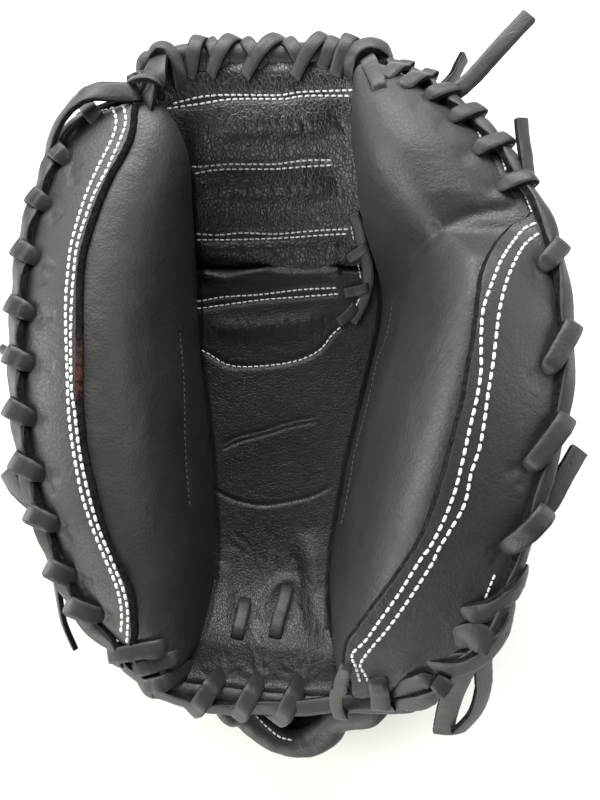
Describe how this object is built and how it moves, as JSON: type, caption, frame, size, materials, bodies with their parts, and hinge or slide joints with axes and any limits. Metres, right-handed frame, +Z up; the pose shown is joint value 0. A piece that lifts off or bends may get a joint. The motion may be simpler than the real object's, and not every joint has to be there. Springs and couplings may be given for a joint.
{
  "type": "catcher mitt",
  "caption": "Black leather catcher's mitt lying on its back, with padded rolls round an open pocket, stitched bands, a laced rim and a hollow for the hand.",
  "frame": {"origin": "middle of the mitt's box in plan, at the height of what it lies on", "axes": "+X towards the finger side, +Y from the heel to the top of the web, +Z up out of the pocket"},
  "size_m": [0.2462, 0.3608, 0.1632],
  "materials": {
    "matt_leather": "black leather of the rolls, bands and back, matt, with white thread",
    "pocket_leather": "black leather of the palm and the web, glossy and creased, with white thread",
    "lace_leather": "black rawhide lace, smooth on the face and rough on its cut edges"
  },
  "bodies": {
    "root": {"thumb_pad": "matt_leather", "finger_pad": "matt_leather", "thumb_band": "matt_leather", "finger_band": "matt_leather", "palm_panel": "pocket_leather", "web_panel": "pocket_leather", "thumb_back": "matt_leather", "finger_back": "matt_leather", "wrist_strap": "matt_leather", "top_roll": "matt_leather", "heel_roll": "matt_leather", "thumb_rim_lace": "lace_leather", "finger_rim_lace": "lace_leather", "web_top_lace": "lace_leather", "heel_lace": "lace_leather", "bridge_lace": "lace_leather", "web_edge_lace": "lace_leather", "heel_loop_1": "lace_leather", "heel_loop_2": "lace_leather"}
  },
  "joints": []
}
